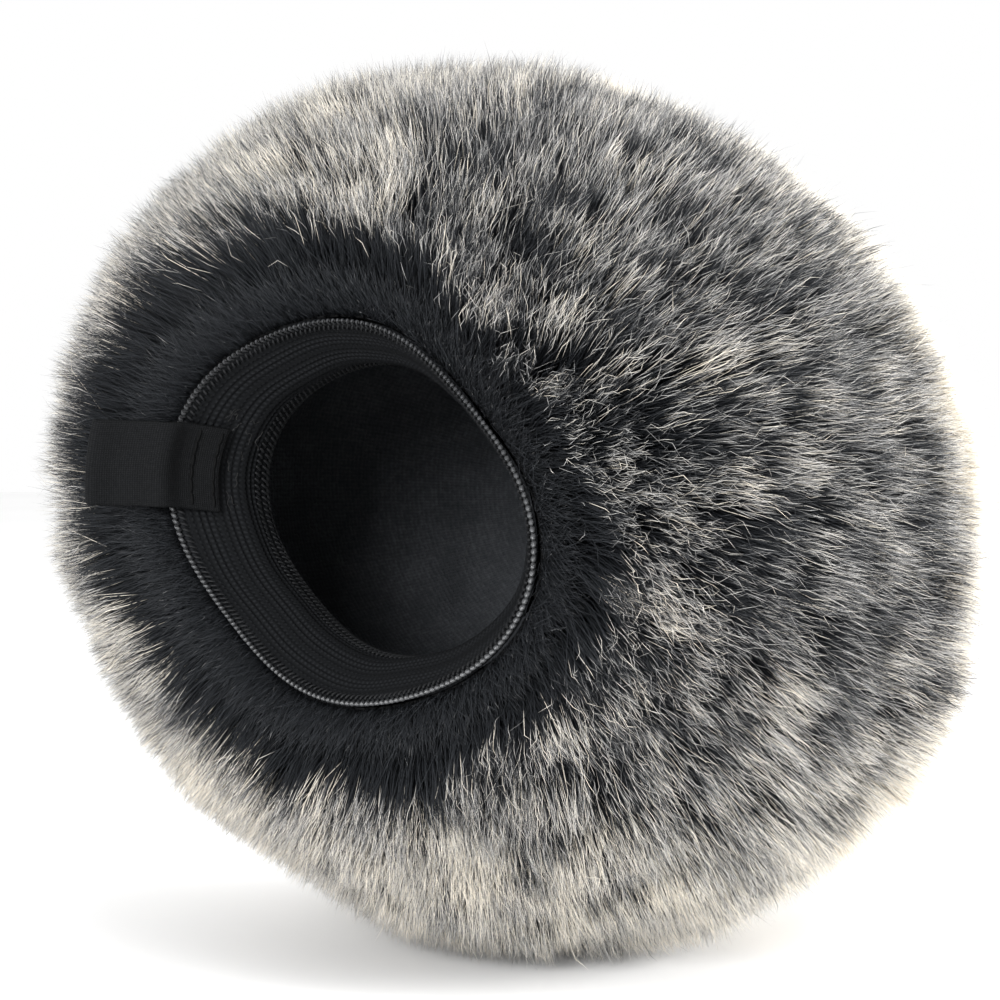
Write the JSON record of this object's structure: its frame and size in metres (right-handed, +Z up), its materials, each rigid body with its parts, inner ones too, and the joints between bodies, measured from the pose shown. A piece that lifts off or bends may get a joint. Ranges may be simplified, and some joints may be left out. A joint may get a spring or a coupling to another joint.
{
  "type": "furry windscreen",
  "caption": "Hollow ball of long faux fur with a foam liner, a corded elastic mouth and a ribbon pull tab, pulled over the head of a large microphone.",
  "frame": {"origin": "centre of the narrow elastic ring, inside the mouth, that grips the microphone", "axes": "-Y out of the mouth, +Y to the crown, +Z up as the cover lies on its side; the cover is turned 14 degrees about the mouth's axis, so its seams are not quite at the top and bottom and its pull tab is not quite level with the axis"},
  "size_m": [0.1562, 0.1434, 0.1534],
  "materials": {
    "fur": "matte",
    "foam": "matte",
    "lining": "matte",
    "elastic": "matte",
    "elastic_cord": "satin",
    "thread": "satin",
    "ribbon": "matte"
  },
  "bodies": {
    "shell": {"fur_panel_left": "fur", "fur_panel_right": "fur", "foam_liner_left": "foam", "foam_liner_right": "foam", "lining_left": "lining", "lining_right": "lining", "fur_seam_thread": "thread", "lining_seam_thread": "thread", "mouth_seam_thread": "thread", "elastic_band": "elastic", "rim_cord": "elastic_cord", "inner_cord": "elastic_cord", "rim_stitch": "elastic_cord", "inner_stitch": "elastic_cord", "band_join_tack": "thread", "tab_root": "ribbon", "tab_box_stitch": "thread"},
    "pull_tab": {"tab_flap": "ribbon"}
  },
  "joints": [
    {"name": "pull_tab_lift", "type": "hinge", "parent": "shell", "child": "pull_tab", "pos_m": [-0.02872, -0.01535, 0.00716], "axis": [0.0872, 0, 0.9962], "range_deg": [0, 46]}
  ]
}
